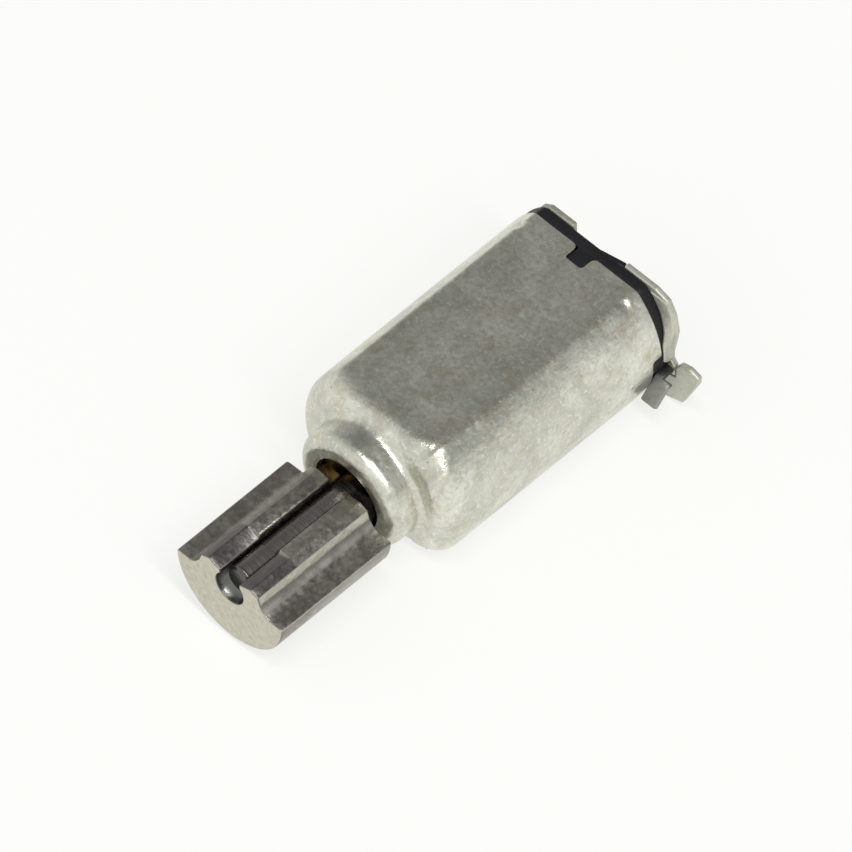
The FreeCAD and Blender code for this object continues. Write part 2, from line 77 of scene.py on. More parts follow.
# Sizes in millimetres, from the frame where it gives them
CAN_RADIUS = high("can").x
CAN_HALF_HEIGHT = high("can").z
RIM_Y = high("can").y
NOSE_FRONT = low("can").y
CAN_WALL = 0.2
FLAT_EDGE = 0.17
CAN_OUTLINE = (CAN_RADIUS, CAN_HALF_HEIGHT, FLAT_EDGE)
SHOULDER = 0.5
CORNER_SHOULDER = 0.22
NOSE_RADIUS = high("nose_bush").x + CAN_WALL
NOSE_EDGE = 0.32
NOSE_ROOT = 0.15
NOSE_HOLE = 0.87
HOLE_EDGE = 0.05
NOTCH_HALF_WIDTH = 0.23
NOTCH_DEPTH = 0.39
NOTCH_MOUTH = 0.13
NOTCH_CORNER = 0.07
NOTCH_MARGIN = 0.35
SIDE_NOTCH = (-0.95, 0.15)
SIDE_NOTCH_DEPTH = 0.25
SIDE_KEY_BOTTOM = -0.40
SIDE_MOUTH = 0.05
SIDE_CORNER = 0.05
RIM_EDGE = 0.025
DENT_X = 1.50
DENT_Y = 5.82
DENT_REACH = 0.18
DENT_DEPTH = 0.035
DENT_STRETCH = 0.6

# The can's skin is traced forward from TRACE_START; its wall runs straight up to WALL_STRAIGHT
TRACE_START = 0.8
WALL_STATIONS = (1.4, 2.6, 4.0, 4.9)
WALL_STRAIGHT = 5.2
RIM_ROWS = 28
FRONT_ROWS = (30, 18, 14, 8)

SHAFT_RADIUS = high("shaft").x
SHAFT_FRONT = low("shaft").y
SHAFT_BACK = high("shaft").y
SHAFT_CHAMFER = 0.06
AXIS_GAP = 0.02
BUSH_CLEARANCE = 0.02
BUSH_MOUTH = 0.16

WEIGHT_RADIUS = -low("counterweight").z
WEIGHT_FRONT = low("counterweight").y
WEIGHT_HUB_BACK = high("counterweight").y
WEIGHT_BACK = -0.95
WEIGHT_HUB_RADIUS = 0.78
WEIGHT_HUB_TOP = 0.30
WEIGHT_RECESS = 0.39
RECESS_STEP = 0.005
WING_TIP = (1.50, -0.05)
WING_ROOT = (1.05, -0.05)
FLANK_FOOT = (0.88, 0.18)
EAR_SHOULDER = (0.81, 0.40)
EAR_CROWN = (0.60, 0.50)
EAR_TOP = 0.48
SLOT_HALF_WIDTH = 0.275
STAKE_DEPTH = 0.10
STAKE_LENGTH = 1.15
STAKE_BLEND = 0.03
WEIGHT_EDGE = 0.03
TIP_ROUNDING = 0.06
EAR_ROUNDING = [0.22, 0.035, 0.05, 0.08, 0.045]
HUB_STEP = 0.4

FLANGE_BACK = 6.54
TERMINAL_BACK = 6.68
BOSS_BACK = high("end_cap").y
BOSS_RADIUS = 0.92
POCKET_START = low("rear_bush").y
POCKET_RADIUS = high("rear_bush").x
POCKET_END = high("thrust_plate").y
CAP_CLEARANCE = 0.04
CAP_EDGE = 0.04
KEY_GAP = 0.004
KEY_BACK = RIM_Y + 0.1
KEY_OVERLAP = 0.05
SKIRT_CLEARANCE = 0.002
SKIRT_START = low("end_cap").y
SKIRT_WALL = 0.32
FLOOR_START = 5.95
PEGS = [(1.5, 1.0), (1.62, -0.25), (-1.5, 1.0), (-1.62, -0.25)]
PEG_RADIUS = 0.15
PEG_HEAD = 0.23

# Outlines (x, z) of the terminal plates round the cut-out for the boss
CUTOUT = 1.0
RIGHT_PLATE_TOP = [(1.68, 1.65), (0.80, 1.65)]
RIGHT_PLATE_FOOT = [(1.35, -0.72), (2.28, -0.72), (2.28, -0.42)]
RIGHT_PLATE_SIDE = [(2.14, -0.24), (2.24, 0.30), (2.30, 0.71), (2.21, 1.19), (2.03, 1.53)]
LEFT_PLATE = [(-0.65, 1.65), (-1.33, 1.65), (-1.55, 1.50), (-1.85, 0.98)]
LEFT_PLATE += [(-2.0, 0.3), (-2.0, -0.3), (-1.88, -0.85)]
STRIP_BOTTOM = [(-1.62, -1.30), (-1.35, -1.57), (2.03, -1.59)]
STRIP_LUG = [(2.52, -1.40), (2.93, -0.45), (2.95, -0.24), (2.68, -0.15), (2.42, -0.22), (2.305, -0.40)]
STRIP_LUG += [(2.305, -0.745), (2.05, -0.76), (1.95, -1.02)]
STRIP_TOP = [(0.5, -1.12), (-0.45, -1.05)]
STRIP_JOIN = (-0.543, -0.84)
PLATE_ROUNDING = 0.05
SHEET_EDGE = 0.035
TAB_INNER = 2.168
TAB_FOOT = (2.17, -0.20)
TAB_SETBACK = 0.012
TAB_THICKNESS = 0.05
TAB_HEIGHTS = (-0.20, -0.10, 0.40, 0.70, 1.10, 1.50)
TAB_FRONTS = (6.42, 6.303, 6.303, 6.42, 6.50, 6.52)
LUG_LEFT, NECK_RIGHT, LUG_RIGHT = 2.08, 2.28, 2.49
LUG_THICKNESS = 0.12
LUG_PATH = [(6.66, -0.48), (6.26, -0.50), (6.12, -0.60), (5.80, -0.93)]
NECK_FRONT = 6.165

# ---------- outlines


def arc(cx, cz, radius, start, end, steps):
    """Points of an arc from one angle to another, in degrees, ends included."""
    angles = [math.radians(start + (end - start) * i / steps) for i in range(steps + 1)]
    return [(cx + radius * math.cos(a), cz + radius * math.sin(a)) for a in angles]


def rounded(points, radius, steps=5):
    """Closed outline with each corner replaced by an arc; radius may be a list, one for each corner."""
    radii = radius if isinstance(radius, list) else [radius] * len(points)
    sharp = 1e-4
    result = []
    for i, corner in enumerate(points):
        p = Vector(corner)
        before = Vector(points[i - 1]) - p
        after = Vector(points[(i + 1) % len(points)]) - p
        half_turn = (math.pi - before.angle(after)) / 2
        reach = radii[i] * math.tan(half_turn)
        reach = min(reach, before.length * 0.49, after.length * 0.49)
        if reach < sharp:
            result.append((p.x, p.y))
            continue
        result += corner_arc(p, before.normalized(), after.normalized(), reach, half_turn, steps)
    return result


def corner_arc(p, before, after, reach, half_turn, steps):
    """Arc that leaves one side of a corner and meets the other, reach away from the corner."""
    radius = reach / math.tan(half_turn)
    middle = (before + after).normalized()
    centre = p + middle * math.hypot(radius, reach)
    start = p + before * reach - centre
    turn = start.angle_signed(p + after * reach - centre)
    points = [centre + Matrix.Rotation(-turn * k / steps, 2) @ start for k in range(steps + 1)]
    return [(q.x, q.y) for q in points]


def inset(points, distance):
    """Closed outline moved inwards; the outline runs anticlockwise."""
    pts = np.array(points)
    before = pts - np.roll(pts, 1, axis=0)
    after = np.roll(pts, -1, axis=0) - pts
    before /= np.linalg.norm(before, axis=1)[:, None]
    after /= np.linalg.norm(after, axis=1)[:, None]
    normals = np.stack([-(before + after)[:, 1], (before + after)[:, 0]], axis=1)
    normals /= np.linalg.norm(normals, axis=1)[:, None]
    stretch = np.sqrt((1 + (before * after).sum(axis=1)) / 2).clip(0.5)
    return [tuple(p) for p in pts + normals * (distance / stretch)[:, None]]


def double_d_parts(radius, half_height, edge):
    """Centre x and angle of the arc that joins the round side to the flat."""
    centre_x = math.sqrt((radius - edge) ** 2 - (half_height - edge) ** 2)
    return centre_x, math.atan2(half_height - edge, centre_x)


def quarter_length(radius, half_height, edge):
    """Length of a quarter of the double-D outline."""
    centre_x, angle = double_d_parts(radius, half_height, edge)
    return radius * angle + edge * (math.pi / 2 - angle) + centre_x


def double_d_at(s, radius, half_height, edge):
    """Point and outward normal at distance s along the double-D outline, from its rightmost point."""
    quarter = quarter_length(radius, half_height, edge)
    s %= 4 * quarter
    turn = int(s // quarter)
    t = s - turn * quarter if turn % 2 == 0 else (turn + 1) * quarter - s
    centre_x, angle = double_d_parts(radius, half_height, edge)
    side = radius * angle
    corner = edge * (math.pi / 2 - angle)
    if t < side:
        normal = (math.cos(t / radius), math.sin(t / radius))
        point = (radius * normal[0], radius * normal[1])
    elif t < side + corner:
        a = angle + (t - side) / edge
        normal = (math.cos(a), math.sin(a))
        point = (centre_x + edge * normal[0], half_height - edge + edge * normal[1])
    else:
        normal = (0, 1)
        point = (centre_x - (t - side - corner), half_height)
    sx = -1 if turn in (1, 2) else 1
    sz = -1 if turn in (2, 3) else 1
    return (sx * point[0], sz * point[1]), (sx * normal[0], sz * normal[1])


def double_d(radius, half_height, edge):
    """Closed double-D outline, anticlockwise from the rightmost point."""
    side_steps, edge_steps, flat_steps = 22, 7, 6
    centre_x, angle = double_d_parts(radius, half_height, edge)
    quarter = arc(0, 0, radius, 0, math.degrees(angle), side_steps)[:-1]
    quarter += arc(centre_x, half_height - edge, edge, math.degrees(angle), 90, edge_steps)[:-1]
    quarter += [(centre_x * (1 - i / flat_steps), half_height) for i in range(flat_steps)]
    second = [(-x, z) for x, z in reversed(quarter[1:])]
    half = quarter + [(0, half_height)] + second
    return half + [(-x, -z) for x, z in half]


def quarter_turn():
    """Pairs (1 - cosine, 1 - sine) of the angles from 0 to 90 degrees."""
    angles = [math.pi / 2 * k / 3 for k in range(4)]
    return [(1 - math.cos(a), 1 - math.sin(a)) for a in angles]


def front_edge(outline, y, edge):
    """(y, outline) pairs that round the front edge of a bar or plate."""
    return [(y + edge * c, inset(outline, edge * s)) for c, s in quarter_turn()]


def back_edge(outline, y, edge):
    """(y, outline) pairs that round the back edge of a bar or plate."""
    return [(y - edge * s, inset(outline, edge * c)) for c, s in quarter_turn()]


def mirrored(points):
    """The same points on the left, in the order that keeps an outline anticlockwise."""
    return [(-x, z) for x, z in reversed(points)]


# ---------- mesh helpers


class Shell:
    """Vertices in millimetres and faces of one piece."""

    def __init__(self):
        self.vertices = []
        self.faces = []

    def ring(self, points):
        """Adds a loop of points and returns their indices."""
        start = len(self.vertices)
        self.vertices += [tuple(p) for p in points]
        return list(range(start, len(self.vertices)))

    def bridge(self, a, b):
        """Quads between two loops of the same length."""
        for i in range(len(a)):
            j = (i + 1) % len(a)
            self.faces.append((a[i], a[j], b[j], b[i]))

    def loft(self, sections):
        """Skin over loops of points, with a cap at each end."""
        rings = [self.ring(points) for points in sections]
        for a, b in zip(rings, rings[1:]):
            self.bridge(a, b)
        self.faces.append(tuple(reversed(rings[0])))
        self.faces.append(tuple(rings[-1]))

    def loop_loft(self, sections):
        """Skin over loops of points, the last one joined to the first."""
        rings = [self.ring(points) for points in sections]
        for a, b in zip(rings, rings[1:] + rings[:1]):
            self.bridge(a, b)

    def bar(self, sections):
        """Solid along Y through (y, outline) pairs; the outlines hold (x, z) points."""
        self.loft([[(x, y, z) for x, z in outline] for y, outline in sections])

    def prism(self, outline, start, end, edge):
        """Plate along Y with rounded front and back edges."""
        self.bar(front_edge(outline, start, edge) + back_edge(outline, end, edge))

    def lathe(self, profile, segments):
        """Ring turned about the Y axis from a closed (radius, y) profile."""
        angles = [2 * math.pi * k / segments for k in range(segments)]
        self.loop_loft([[(r * math.cos(a), y, r * math.sin(a)) for r, y in profile] for a in angles])

    def turned_solid(self, profile, segments, centre=(0, 0)):
        """Solid turned about a line along Y from an open (radius, y) profile."""
        self.bar([(y, arc(*centre, r, 0, 360, segments)[:-1]) for r, y in profile])


def add_object(name, data):
    """New object of the scene."""
    thing = bpy.data.objects.new(name, data)
    bpy.context.scene.collection.objects.link(thing)
    return thing


def make_piece(name, shell, body, nodes, slot, keep_flats=True):
    """Makes a shell a smooth piece that rides on a body and stands for CAD nodes; keep_flats shades its
    large faces flat."""
    mesh = bpy.data.meshes.new(name)
    mesh.from_pydata([tuple(c * MM for c in v) for v in shell.vertices], [], shell.faces)
    bm = bmesh.new()
    bm.from_mesh(mesh)
    bmesh.ops.remove_doubles(bm, verts=bm.verts, dist=1e-8)
    bmesh.ops.recalc_face_normals(bm, faces=bm.faces)
    for face in bm.faces:
        face.smooth = True
    bm.to_mesh(mesh)
    bm.free()
    piece = add_object(name, mesh)
    mesh.materials.append(LOOKS[slot])
    if keep_flats:
        weighted = piece.modifiers.new("flats", "WEIGHTED_NORMAL")
        weighted.weight = 100
        weighted.keep_sharp = True
    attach(piece, body)
    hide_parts(*nodes)


# ---------- can


def round_and(a, b, radius):
    """Signed distance of the common part of two shapes, with a rounded edge."""
    u = np.maximum(a + radius, 0)
    v = np.maximum(b + radius, 0)
    return np.minimum(np.maximum(a, b), -radius) + np.hypot(u, v)


def round_or(a, b, radius):
    """Signed distance of two joined shapes, with a filleted root."""
    u = np.maximum(radius - a, 0)
    v = np.maximum(radius - b, 0)
    return np.maximum(np.minimum(a, b), radius) - np.hypot(u, v)


def can_parts(r, y, wall, slope, shoulder):
    """Signed distances of the cup and nose at radius r and station y, for the columns of the wall."""
    cup = round_and((r - wall) * slope, -y, shoulder)
    nose = round_and(r - NOSE_RADIUS, NOSE_FRONT - y, NOSE_EDGE)
    return cup, nose


def can_distance(r, y, *column):
    """Signed distance to the can's outer skin, down into the hole of its nose."""
    cup, nose = can_parts(r, y, *column)
    return round_and(round_or(cup, nose, NOSE_ROOT), NOSE_HOLE - r, HOLE_EDGE)


def trace_front(wall, slope, shoulder):
    """Follows the can's skin from the side wall over the shoulder and nose into the hole, for each column."""
    step, nudge, steps = 0.012, 1e-4, 330
    hole_end = NOSE_FRONT + CAN_WALL
    in_hole = NOSE_HOLE + 0.01
    r = wall.copy()
    y = np.full_like(r, TRACE_START)
    path = [(r, y)]
    for _ in range(steps):
        for correct in (False, True, True):
            here = can_distance(r, y, wall, slope, shoulder)
            slope_r = (can_distance(r + nudge, y, wall, slope, shoulder) - here) / nudge
            slope_y = (can_distance(r, y + nudge, wall, slope, shoulder) - here) / nudge
            size = np.hypot(slope_r, slope_y)
            if correct:
                r, y = r - here * slope_r / size**2, y - here * slope_y / size**2
            else:
                r, y = r + step * slope_y / size, y - step * slope_r / size
        done = (path[-1][0] < in_hole) & (y > hole_end)
        r = np.where(done, path[-1][0], r)
        y = np.where(done, path[-1][1], y)
        path.append((r, y))
    return np.array([p[0] for p in path]), np.array([p[1] for p in path])


def resample_front(rs, ys, wall, slope, shoulder):
    """Stations on each traced column, shared out between the shoulder, the nose and its edges."""
    apart = 0.05
    result = []
    for i in range(rs.shape[1]):
        r, y = rs[:, i], ys[:, i]
        length = np.concatenate([[0], np.cumsum(np.hypot(np.diff(r), np.diff(y)))])
        cup, nose = can_parts(r, y, wall[i], slope[i], shoulder[i])
        marks = [0.0]
        past_front, past_side, past_hole = NOSE_FRONT - y, r - NOSE_RADIUS, NOSE_HOLE - r
        for difference in (cup - nose, past_front - past_side, past_hole - past_front):
            after = length > marks[-1] + apart
            k = int(np.argmax(after & (difference > 0)))
            share = difference[k - 1] / (difference[k - 1] - difference[k])
            marks.append(length[k - 1] + share * (length[k] - length[k - 1]))
        marks.append(length[-1])
        stations = [marks[0]]
        for a, b, count in zip(marks, marks[1:], FRONT_ROWS):
            stations += [a + (b - a) * k / count for k in range(1, count + 1)]
        result.append((np.interp(stations, length, r), np.interp(stations, length, y)))
    return result


def notch_points(centre, half_width, depth, mouth, corner):
    """Rim outline (s, y) across one notch, with rounded mouth and inner corners."""
    left, right, bottom = centre - half_width, centre + half_width, RIM_Y - depth
    inner = 4
    points = arc(left - mouth, RIM_Y - mouth, mouth, 90, 0, 5)
    points += arc(left + corner, bottom + corner, corner, 180, 270, 4)
    points += [(left + corner + (right - left - 2 * corner) * k / inner, bottom) for k in range(1, inner)]
    points += arc(right - corner, bottom + corner, corner, 270, 360, 4)
    points += arc(right + mouth, RIM_Y - mouth, mouth, 180, 90, 5)
    return points


def rim_columns():
    """For each column of the can's wall: its place s low on the wall, and its rim point (s, y)."""
    quarter = quarter_length(*CAN_OUTLINE)
    side_low, side_high = [CAN_RADIUS * math.asin(z / CAN_RADIUS) for z in SIDE_NOTCH]
    side_middle, side_half = (side_low + side_high) / 2, (side_high - side_low) / 2
    notches = [
        (side_middle, side_half, SIDE_NOTCH_DEPTH, SIDE_MOUTH, SIDE_CORNER),
        (quarter, NOTCH_HALF_WIDTH, NOTCH_DEPTH, NOTCH_MOUTH, NOTCH_CORNER),
        (3 * quarter, NOTCH_HALF_WIDTH, NOTCH_DEPTH, NOTCH_MOUTH, NOTCH_CORNER),
    ]
    columns = []
    for k, notch in enumerate(notches):
        columns += notch_columns(notch)
        end = notch[0] + notch[1] + NOTCH_MARGIN
        following = notches[(k + 1) % len(notches)]
        next_start = following[0] - following[1] - NOTCH_MARGIN
        if k == len(notches) - 1:
            next_start += 4 * quarter
        columns += plain_columns(end, next_start)
    return columns


def notch_columns(notch):
    """Columns around one notch: those of its mouth and sides are spread evenly low on the wall."""
    centre, half_width = notch[:2]
    start, end = centre - half_width, centre + half_width
    points = notch_points(*notch)
    left = [(start - NOTCH_MARGIN, RIM_Y)] + [p for p in points if p[0] <= start + 1e-9]
    right = [p for p in points if p[0] >= end - 1e-9] + [(end + NOTCH_MARGIN, RIM_Y)]
    middle = points[len(left) - 1 : len(points) - len(right) + 1]
    return spread(left) + [(p[0], p) for p in middle] + spread(right)


def spread(points):
    """Pairs of an evenly spread s and a rim point, between the first and the last point's own s."""
    travel = [0.0]
    for a, b in zip(points, points[1:]):
        travel.append(travel[-1] + math.dist(a, b))
    start, end = points[0][0], points[-1][0]
    return [(start + (end - start) * t / travel[-1], p) for t, p in zip(travel, points)]


def plain_columns(start, end):
    """Columns between two notches, closest together over the corners of the outline."""
    quarter = quarter_length(*CAN_OUTLINE)
    _, angle = double_d_parts(*CAN_OUTLINE)
    closest, widest, growth, dense_reach = 0.035, 0.13, 0.25, 0.18
    corner = quarter - CAN_RADIUS * angle - 0.12
    last = end - 0.02
    columns = []
    s = start
    while True:
        to_corner = abs(abs(s % (2 * quarter) - quarter) - corner)
        s += min(closest + max(to_corner - dense_reach, 0) * growth, widest)
        if s > last:
            return columns
        columns.append((s, (s, RIM_Y)))


def shoulder_radii(columns):
    """Radius of the can's shoulder at each column, largest at the four corners of the outline."""
    quarter = quarter_length(*CAN_OUTLINE)
    _, angle = double_d_parts(*CAN_OUTLINE)
    corner = CAN_RADIUS * angle + FLAT_EDGE * (math.pi / 2 - angle) / 2
    s = np.array([column[0] for column in columns]) % (2 * quarter)
    away = np.abs(np.abs(s - quarter) - (quarter - corner))
    reach = 0.4
    return SHOULDER + CORNER_SHOULDER * np.exp(-((away / reach) ** 2))


def dented(point, normal):
    """Point on the can's wall, pressed in near the four staking marks at the rear."""
    x, y, z = point
    dz = (abs(z) - CAN_HALF_HEIGHT) * DENT_STRETCH
    distance = math.sqrt((abs(x) - DENT_X) ** 2 + (y - DENT_Y) ** 2 + dz**2) / DENT_REACH
    if distance >= 1:
        return point
    depth = DENT_DEPTH * (1 - distance**2) ** 2
    return (x - normal[0] * depth, y, z - normal[1] * depth)


def wall_ring(columns, share, depth, short=0.0):
    """Ring of the wall from its straight part, share 0, to the rim, share 1, so deep below the skin."""
    ring = []
    for (s_low, _), (s_rim, y_rim) in zip(columns, short_of_rim(columns, short)):
        s = s_low + (s_rim - s_low) * share
        y = WALL_STRAIGHT + (y_rim - WALL_STRAIGHT) * share
        (x, z), n = double_d_at(s, *CAN_OUTLINE)
        point = (x - n[0] * depth, y, z - n[1] * depth)
        ring.append(dented(point, n))
    return ring


def build_can():
    """Drawn steel cup: notched rim, flats, soft shoulder and hollow nose."""
    shell = Shell()
    columns = rim_columns()
    outline = [double_d_at(s, *CAN_OUTLINE) for s, _ in columns]
    radius = np.array([math.hypot(*p) for p, _ in outline])
    x_dir = np.array([p[0] for p, _ in outline]) / radius
    z_dir = np.array([p[1] for p, _ in outline]) / radius
    slope = np.array([n[0] for _, n in outline]) * x_dir + np.array([n[1] for _, n in outline]) * z_dir
    shoulder = shoulder_radii(columns)
    rs, ys = trace_front(radius, slope, shoulder)
    stations = resample_front(rs, ys, radius, slope, shoulder)
    rings = []
    for k in reversed(range(sum(FRONT_ROWS) + 1)):
        rings.append([(r[k] * cx, y[k], r[k] * cz) for (r, y), cx, cz in zip(stations, x_dir, z_dir)])
    for y in WALL_STATIONS:
        rings.append([(p[0], y, p[1]) for p, _ in outline])
    rings += [wall_ring(columns, k / RIM_ROWS, 0, RIM_EDGE) for k in range(RIM_ROWS + 1)]
    rings += [wall_ring(columns, 1, RIM_EDGE * c, RIM_EDGE * s) for c, s in quarter_turn()[1:]]
    rings += [wall_ring(columns, share, CAN_WALL) for share in (1, 0)]
    rings.append([(p[0] - n[0] * CAN_WALL, CAN_WALL, p[1] - n[1] * CAN_WALL) for p, n in outline])
    bore = NOSE_RADIUS - CAN_WALL
    for y in (CAN_WALL, NOSE_FRONT + CAN_WALL):
        rings.append([(bore * cx, y, bore * cz) for cx, cz in zip(x_dir, z_dir)])
    shell.loop_loft(rings)
    make_piece("can_shell", shell, HOUSING, ["can"], "can_steel", keep_flats=False)


def short_of_rim(columns, distance):
    """Rim points (s, y) moved back from the rim and the notches by a distance."""
    rim = np.array([point for _, point in columns])
    ahead = np.array([[1.0, 0.0]])
    before = np.diff(rim, axis=0, prepend=rim[:1] - ahead)
    after = np.diff(rim, axis=0, append=rim[-1:] + ahead)
    before /= np.linalg.norm(before, axis=1)[:, None]
    after /= np.linalg.norm(after, axis=1)[:, None]
    along = before + after
    along /= np.linalg.norm(along, axis=1)[:, None]
    return rim - distance * np.stack([-along[:, 1], along[:, 0]], axis=1)


# ---------- weight


def weight_outline(bore, staked):
    """Cross-section of the weight, anticlockwise; staked runs from 0, as moulded, to 1, pressed down."""
    slot_edge = (SLOT_HALF_WIDTH, EAR_TOP - STAKE_DEPTH * staked)
    right = [WING_ROOT, FLANK_FOOT, EAR_SHOULDER, EAR_CROWN, slot_edge]
    tip_x, tip_z = WING_TIP
    centre_z = (tip_x**2 + tip_z**2 - WEIGHT_RADIUS**2) / (2 * (tip_z + WEIGHT_RADIUS))
    tip_angle = math.degrees(math.atan2(tip_z - centre_z, tip_x))
    rim = arc(0, centre_z, WEIGHT_RADIUS + centre_z, 180 - tip_angle, 360 + tip_angle, 56)
    channel = bore_arc(bore)
    radii = [TIP_ROUNDING] + [0.0] * (len(rim) - 2) + [TIP_ROUNDING]
    radii += EAR_ROUNDING + [0.0] * len(channel) + EAR_ROUNDING[::-1]
    return rounded(rim + right + channel + mirrored(right), radii, 4)


def bore_arc(bore):
    """Points around the weight's bore, clockwise from one side of its slot to the other."""
    half = math.degrees(math.asin(SLOT_HALF_WIDTH / bore))
    return arc(0, 0, bore, 450 - half, 90 + half, 28)


def weight_sections():
    """(y, outline) pairs of the weight, from its recessed front to the back of its hub."""
    recessed = weight_outline(WEIGHT_RECESS, 1)
    sections = front_edge(recessed, WEIGHT_FRONT, WEIGHT_EDGE) + [(SHAFT_FRONT, recessed)]
    sections.append((SHAFT_FRONT + RECESS_STEP, weight_outline(SHAFT_RADIUS, 1)))
    blend_start = WEIGHT_FRONT + STAKE_LENGTH - STAKE_BLEND
    for k in range(7):
        share = k / 6
        smooth = share * share * (3 - 2 * share)
        sections.append((blend_start + 2 * STAKE_BLEND * share, weight_outline(SHAFT_RADIUS, 1 - smooth)))
    whole = np.array(weight_outline(SHAFT_RADIUS, 0))
    hub = hub_outline(whole)
    return sections + step_down(whole, hub, WEIGHT_BACK) + back_edge(hub, WEIGHT_HUB_BACK, WEIGHT_EDGE)


def hub_outline(outline):
    """The weight's outline drawn in to the hub's radius and cut off at the hub's top."""
    share = np.minimum(1, WEIGHT_HUB_RADIUS / np.linalg.norm(outline, axis=1))
    drawn = outline * share[:, None]
    drawn[:, 1] = np.minimum(drawn[:, 1], WEIGHT_HUB_TOP)
    return drawn


def step_down(larger, smaller, y):
    """Sections that end one outline with a rounded edge at y and go on with a smaller one."""
    sections = []
    for c, s in quarter_turn():
        share = WEIGHT_EDGE * c / HUB_STEP
        sections.append((y - WEIGHT_EDGE * s, larger + (smaller - larger) * share))
    return sections + [(y, smaller)]


def build_weight():
    """Eccentric weight of sintered metal, with staked ears and a short hub."""
    shell = Shell()
    shell.bar(weight_sections())
    make_piece("eccentric_weight", shell, ROTOR, ["counterweight"], "sintered_weight")


def build_shaft():
    """Ground shaft with chamfered ends."""
    shell = Shell()
    chamfer = SHAFT_RADIUS - SHAFT_CHAMFER
    profile = [(AXIS_GAP, SHAFT_FRONT), (chamfer, SHAFT_FRONT), (SHAFT_RADIUS, SHAFT_FRONT + SHAFT_CHAMFER)]
    profile += [(SHAFT_RADIUS, SHAFT_BACK - SHAFT_CHAMFER), (chamfer, SHAFT_BACK), (AXIS_GAP, SHAFT_BACK)]
    shell.turned_solid(rounded(profile, [0.0, 0.03, 0.03, 0.03, 0.03, 0.0]), 48)
    make_piece("rotor_shaft", shell, ROTOR, ["shaft"], "shaft_steel")


def build_bush(name, node):
    """Sintered bush with countersunk mouths."""
    outer, start, end = high(node).x, low(node).y, high(node).y
    bore = SHAFT_RADIUS + BUSH_CLEARANCE
    mouth = bore + BUSH_MOUTH
    profile = [(bore, start + BUSH_MOUTH), (mouth, start), (outer, start)]
    profile += [(outer, end), (mouth, end), (bore, end - BUSH_MOUTH)]
    shell = Shell()
    shell.lathe(rounded(profile, 0.03, 3), 72)
    make_piece(name, shell, HOUSING, [node], "bronze")


# ---------- end cap and terminals


def build_end_cap():
    """Moulded cap: keyed flange, skirt, bearing boss, staked pegs and plate stop."""
    shell = Shell()
    outer = double_d(CAN_RADIUS - CAP_CLEARANCE, CAN_HALF_HEIGHT - CAP_CLEARANCE, FLAT_EDGE)
    shell.prism(outer, RIM_Y, FLANGE_BACK, CAP_EDGE)
    inner_radius = CAN_RADIUS - CAN_WALL - SKIRT_CLEARANCE
    inner_half = CAN_HALF_HEIGHT - CAN_WALL - SKIRT_CLEARANCE
    skirt = double_d(inner_radius, inner_half, CAN_WALL / 2)
    chamber = double_d(inner_radius - SKIRT_WALL, inner_half - SKIRT_WALL / 2, CAN_WALL / 2)
    shell.bar([(RIM_Y + 0.02, skirt), (SKIRT_START, skirt), (SKIRT_START, chamber), (FLOOR_START, chamber)])
    add_keys(shell)
    boss = [(AXIS_GAP, BOSS_BACK), (BOSS_RADIUS, BOSS_BACK), (BOSS_RADIUS, POCKET_START)]
    boss += [(POCKET_RADIUS, POCKET_START), (POCKET_RADIUS, POCKET_END), (AXIS_GAP, POCKET_END)]
    shell.turned_solid(rounded(boss, [0.0, 0.11, 0.03, 0.02, 0.0, 0.0]), 72)
    peg = [(AXIS_GAP, BOSS_BACK), (PEG_RADIUS, BOSS_BACK), (PEG_HEAD, TERMINAL_BACK)]
    peg += [(PEG_RADIUS, TERMINAL_BACK), (PEG_RADIUS, RIM_Y), (AXIS_GAP, RIM_Y)]
    for place in PEGS:
        shell.turned_solid(rounded(peg, [0.0, 0.1, 0.03, 0.0, 0.0, 0.0]), 32, place)
    add_plate_stop(shell)
    make_piece("end_cap_moulding", shell, HOUSING, ["end_cap"], "black_plastic")


def add_keys(shell):
    """Keys that fill the notches in the can's rim."""
    half = NOTCH_HALF_WIDTH - KEY_GAP
    front = RIM_Y - NOTCH_DEPTH + KEY_GAP
    inner = CAN_HALF_HEIGHT - CAN_WALL - KEY_OVERLAP
    outer = CAN_HALF_HEIGHT - CAP_CLEARANCE - KEY_GAP
    for sign in (1, -1):
        box = [(-half, sign * inner), (half, sign * inner), (half, sign * outer), (-half, sign * outer)]
        shell.prism(rounded(box[::sign], 0.045, 3), front, KEY_BACK, 0.035)
    ends = (SIDE_KEY_BOTTOM, SIDE_NOTCH[1] - KEY_GAP)
    bottom, top = [math.degrees(math.asin(z / CAN_RADIUS)) for z in ends]
    outline = arc(0, 0, CAN_RADIUS - CAP_CLEARANCE - KEY_GAP, bottom, top, 8)
    outline += arc(0, 0, CAN_RADIUS - CAN_WALL - KEY_OVERLAP, top, bottom, 8)
    corner = [0.035] + [0.0] * 7 + [0.035]
    shell.prism(rounded(outline, corner * 2, 3), RIM_Y - SIDE_NOTCH_DEPTH + KEY_GAP, KEY_BACK, 0.03)


def add_plate_stop(shell):
    """Ramp on the cap's back beside the right terminal."""
    left, right, bottom = 0.15, 0.78, 1.0
    top = CAN_HALF_HEIGHT - CAP_CLEARANCE - 0.02
    foot, crest = FLANGE_BACK - 0.03, FLANGE_BACK + 0.12
    ramp = [(left, foot), (right, foot), (right, crest), (left, FLANGE_BACK)]
    outline = rounded(ramp, [0.0, 0.0, 0.03, 0.0])
    shell.loft([[(x, y, z) for x, y in outline] for z in (bottom, top)])


